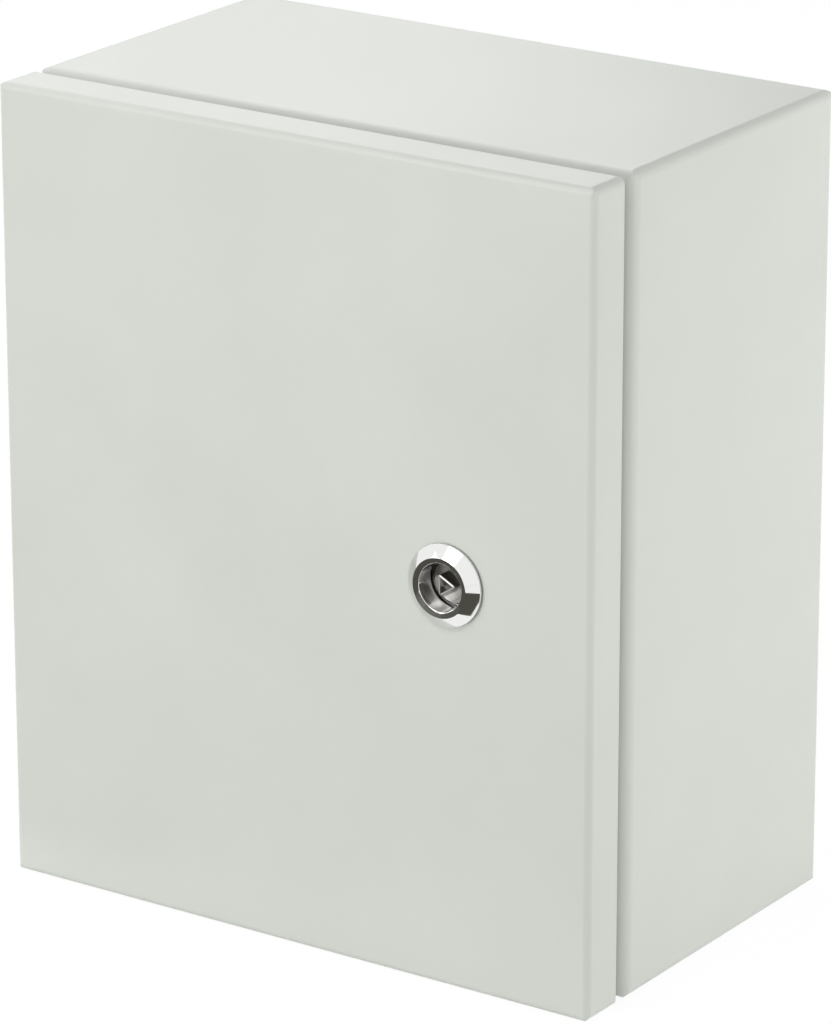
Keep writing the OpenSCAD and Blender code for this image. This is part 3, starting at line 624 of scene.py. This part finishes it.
DRIVER_CORNER, DRIVER_R, DRIVER_TOP, DRIVER_EDGE = 3.467, 0.6, 1.5, 0.5
DRIVER_TURN = math.radians(3)
over = np.linspace(0, np.pi / 2, 7)
inset = np.concatenate([[0], DRIVER_EDGE * (1 - np.cos(over))])
rise = np.concatenate([[FACE - 0.5], DRIVER_TOP - DRIVER_EDGE * (1 - np.sin(over))])
corner = DRIVER_TURN + np.repeat(np.array([0, 2, 4]) * np.pi / 3, 13)
turn = corner + np.tile(np.linspace(-np.pi / 3, np.pi / 3, 13), 3)
radius = DRIVER_R - inset[:, None]
x = DRIVER_CORNER * np.cos(corner) + radius * np.cos(turn)
z = DRIVER_CORNER * np.sin(corner) + radius * np.sin(turn)
height = np.repeat(rise[:, None], x.shape[1], axis=1)
first = len(spindle_points)
rows, around = x.shape
driver_faces = grid_faces(rows, around, first)
driver_faces += [list(range(first + around - 1, first - 1, -1)),
                 list(range(first + (rows - 1) * around, first + rows * around))]
spindle = make_piece("spindle_and_driver",
                     np.concatenate([spindle_points, on_lock_axis(x, height, z)]),
                     spindle_faces + driver_faces, cast_zinc, "lock_rotor", ["lock_spindle"],
                     sharp_deg=40.0)
# The faces of the driver's rounded top edge take the near-white finish: a painted highlight round
# its outline.
spindle.data.materials.append(painted_highlight_edge)
finish_index = np.zeros(len(spindle.data.polygons), dtype=np.int32)
edge_from = len(spindle_faces) + around
finish_index[edge_from:edge_from + (len(over) - 1) * around] = 1
spindle.data.polygons.foreach_set("material_index", finish_index)

# %% [markdown]
# ## The foamed seal
#
# The foam bead is poured inside the door as one closed ring. Its top is a flat dome, and
# the housing's lip has pressed a shallow groove into it. A section carried along a
# rounded rectangle makes it: the section is a dome with a dip in the middle, and a slow
# ripple in its height stands for the uneven rise of the foam. A blip marks where the
# nozzle started and stopped.

# %% Carry the bead's section round the door
def rounded_path(half_x, half_z, radius, per_corner=16, step=4 * MM):
    """Points and outward normals of a rounded rectangle, anticlockwise from the right:
    straight runs cut into steps and quarter circles of the given radius."""
    centres = np.array([[1, 1], [-1, 1], [-1, -1], [1, -1]]) * (half_x - radius, half_z - radius)
    spots, normals = [], []
    for corner, centre in enumerate(centres):
        angle = np.pi / 2 * (corner + np.linspace(0, 1, per_corner))
        out = np.stack([np.cos(angle), np.sin(angle)], axis=-1)
        arc = centre + radius * out
        after = centres[(corner + 1) % 4] + radius * out[-1]
        count = max(2, int(np.linalg.norm(after - arc[-1]) / step))
        run = arc[-1] + np.linspace(0, 1, count + 1)[1:-1, None] * (after - arc[-1])
        spots += [arc, run]
        normals += [out, np.repeat(out[-1:], len(run), axis=0)]
    return np.concatenate(spots), np.concatenate(normals)


GASKET_W = 8 * MM
GASKET_CORNER = 5.25 * MM
LIP_DIP, LIP_HALF = 0.7 * MM, 1.1 * MM
FOAM_SLACK, RIPPLE, START_RISE, START_AT = 0.45 * MM, 0.12 * MM, 0.35 * MM, 300 * MM
low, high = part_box("door_gasket")
path, outward = rounded_path(high.x - GASKET_W / 2, high.z - GASKET_W / 2, GASKET_CORNER)
across = np.linspace(-1, 1, 25)
dome = (1 - np.abs(across) ** 3.5) ** 0.6
dip = LIP_DIP * np.exp(-(across * GASKET_W / 2 / LIP_HALF) ** 2)
along = np.cumsum(np.linalg.norm(np.diff(path, axis=0, prepend=path[:1]), axis=1))
ripple = RIPPLE * (np.sin(along / (11 * MM)) + np.sin(along / (4.3 * MM) + 1.0))
start = START_RISE * np.exp(-((along - START_AT) / (4 * MM)) ** 2)
height = (high.y - low.y) - FOAM_SLACK
rise = dome * (height - dip) + (dome > 0) * (ripple + start)[:, None]
rise = np.clip(rise, 0, high.y - low.y)
side = across * GASKET_W / 2
points = np.stack([path[:, :1] + outward[:, :1] * side,
                   low.y + rise,
                   path[:, 1:] + outward[:, 1:] * side], axis=-1)
rows, columns = points.shape[:2]
order = points.transpose(1, 0, 2).reshape(-1, 3)
faces = grid_faces(columns, rows, loop=True)
make_piece("door_gasket_foam_bead", order, faces, foam, "door", ["door_gasket"],
           sharp_deg=60.0)

# %% [markdown]
# ## Floor, background and light
#
# The background of a catalogue picture is plain white. The floor and the world show
# white to the camera and in reflections, while the light they give to the paint stays at
# a plain level. The floor keeps a faint shadow of the box, because part of what the
# camera sees of it is the light that really falls there.

# %% Lay the floor and set the world
WORLD_LEVEL = 0.30
# What the camera sees of the floor is 12 percent real light and 88 percent glow. The glow
# stands a little over 1 so that the two together come to 1, which is white.
FLOOR_SHARE = 0.12
FLOOR_GLOW = 1.06

world = bpy.data.worlds.new("white_studio")
scene.world = world
world.use_nodes = True
tree = world.node_tree
tree.nodes.clear()


def seen_directly(tree):
    """1 for rays from the camera, from a reflection or through glass, else 0."""
    path = add(tree, "ShaderNodeLightPath")
    both = add(tree, "ShaderNodeMath", {0: path.outputs["Is Camera Ray"],
                                        1: path.outputs["Is Glossy Ray"]}, operation="MAXIMUM")
    return add(tree, "ShaderNodeMath", {0: both.outputs[0],
                                        1: path.outputs["Is Transmission Ray"]},
               operation="MAXIMUM").outputs[0]


glow = add(tree, "ShaderNodeBackground", {"Color": srgb("FFFFFF"), "Strength": WORLD_LEVEL})
white = add(tree, "ShaderNodeBackground", {"Color": srgb("FFFFFF"), "Strength": 1.0})
sky = add(tree, "ShaderNodeMixShader", {0: seen_directly(tree), 1: glow.outputs[0],
                                        2: white.outputs[0]})
add(tree, "ShaderNodeOutputWorld", {"Surface": sky.outputs[0]})

floor_finish = bpy.data.materials.new("white_studio_floor")
floor_finish.use_nodes = True
tree = floor_finish.node_tree
tree.nodes.clear()
lit = add(tree, "ShaderNodeBsdfDiffuse", {"Color": srgb("E6E6E6")})
glow = add(tree, "ShaderNodeEmission", {"Color": srgb("FFFFFF"), "Strength": FLOOR_GLOW})
share = add(tree, "ShaderNodeMath", {0: seen_directly(tree), 1: 1 - FLOOR_SHARE},
            operation="MULTIPLY")
shown = add(tree, "ShaderNodeMixShader", {0: share.outputs[0], 1: lit.outputs[0],
                                          2: glow.outputs[0]})
add(tree, "ShaderNodeOutputMaterial", {"Surface": shown.outputs[0]})

half = 6.0
floor_z = cad_low.z - 0.2 * MM
mesh = bpy.data.meshes.new("studio_floor")
mesh.from_pydata([(-half, -half, floor_z), (half, -half, floor_z), (half, half, floor_z),
                  (-half, half, floor_z)], [], [(0, 1, 2, 3)])
mesh.materials.append(floor_finish)
floor = bpy.data.objects.new("studio_floor", mesh)
scene.collection.objects.link(floor)
print("floor at z", round(1000 * floor_z, 1), "mm")

# %% [markdown]
# Seven soft lamps shape the box. A large one in front lights the door, one overhead and
# three at the left make the top the brightest face, and two at the right light the side:
# one from behind, and a low one near the floor. Those two stand low, so from the far side
# the satin top and back would mirror them and burn out to white: their mirror images are
# left out, and only their light stays. Two dark cards stand in for the dark boards that
# go round polished metal in a studio: one lies on the floor and one stands in front.
# They show only in reflections, and give the lock its dark edges.

# %% Hang the lamps and set the dark cards
def soft_lamp(name, place, target, width, height, watts, mirrored=True):
    """A rectangular area lamp at place that faces target. Its mirror image can be left out."""
    data = bpy.data.lights.new(name, "AREA")
    data.shape = "RECTANGLE"
    data.size, data.size_y, data.energy = width, height, watts
    lamp = bpy.data.objects.new(name, data)
    scene.collection.objects.link(lamp)
    lamp.visible_glossy = mirrored
    lamp.location = place
    lamp.rotation_euler = (Vector(target) - Vector(place)).to_track_quat("-Z", "Y").to_euler()
    return lamp


soft_lamp("lamp_left_near", (-0.75, -0.95, 0.55), middle, 0.5, 0.5, 1.2)
soft_lamp("lamp_left_top", (-0.9, 0.0, 0.8), middle, 0.5, 0.5, 2.9)
soft_lamp("lamp_front", (-0.5, -2.4, 0.1), middle, 1.4, 1.0, 27.9)
soft_lamp("lamp_overhead", (-0.2, -1.4, 1.5), middle, 1.0, 0.8, 9.0)
soft_lamp("lamp_left_back", (-0.9, 0.9, 0.9), middle, 0.8, 0.8, 4.2)
soft_lamp("lamp_right_back", (1.3, 0.9, 0.35), middle, 0.8, 0.8, 9.1, mirrored=False)
soft_lamp("lamp_right_low", (1.0, 0.1, -0.05), middle, 0.5, 0.2, 2.4, mirrored=False)


def dark_card(name, corners, tone):
    """A flat card that shows only in reflections."""
    card_finish = bpy.data.materials.new(name)
    card_finish.use_nodes = True
    tree = card_finish.node_tree
    tree.nodes.clear()
    paper = add(tree, "ShaderNodeEmission", {"Color": srgb(tone), "Strength": 1.0})
    add(tree, "ShaderNodeOutputMaterial", {"Surface": paper.outputs[0]})
    mesh = bpy.data.meshes.new(name)
    mesh.from_pydata(corners, [], [list(range(len(corners)))])
    mesh.materials.append(card_finish)
    card = bpy.data.objects.new(name, mesh)
    scene.collection.objects.link(card)
    card.visible_camera = card.visible_diffuse = card.visible_shadow = False
    card.visible_transmission = False
    return card


card_z = floor_z + 2 * MM
dark_card("card_on_floor", [(-2.6, -0.17, card_z), (-0.10, -0.18, card_z), (0.0, -0.235, card_z),
                            (0.114, -0.212, card_z), (0.40, -0.42, card_z), (0.30, -1.65, card_z),
                            (-2.6, -1.65, card_z)], "504F48")
dark_card("card_in_front", [(-1.8, -0.5, card_z), (0.3, -1.6, card_z), (0.3, -1.6, 0.5),
                            (-1.8, -0.5, 0.2)], "5A5A56")
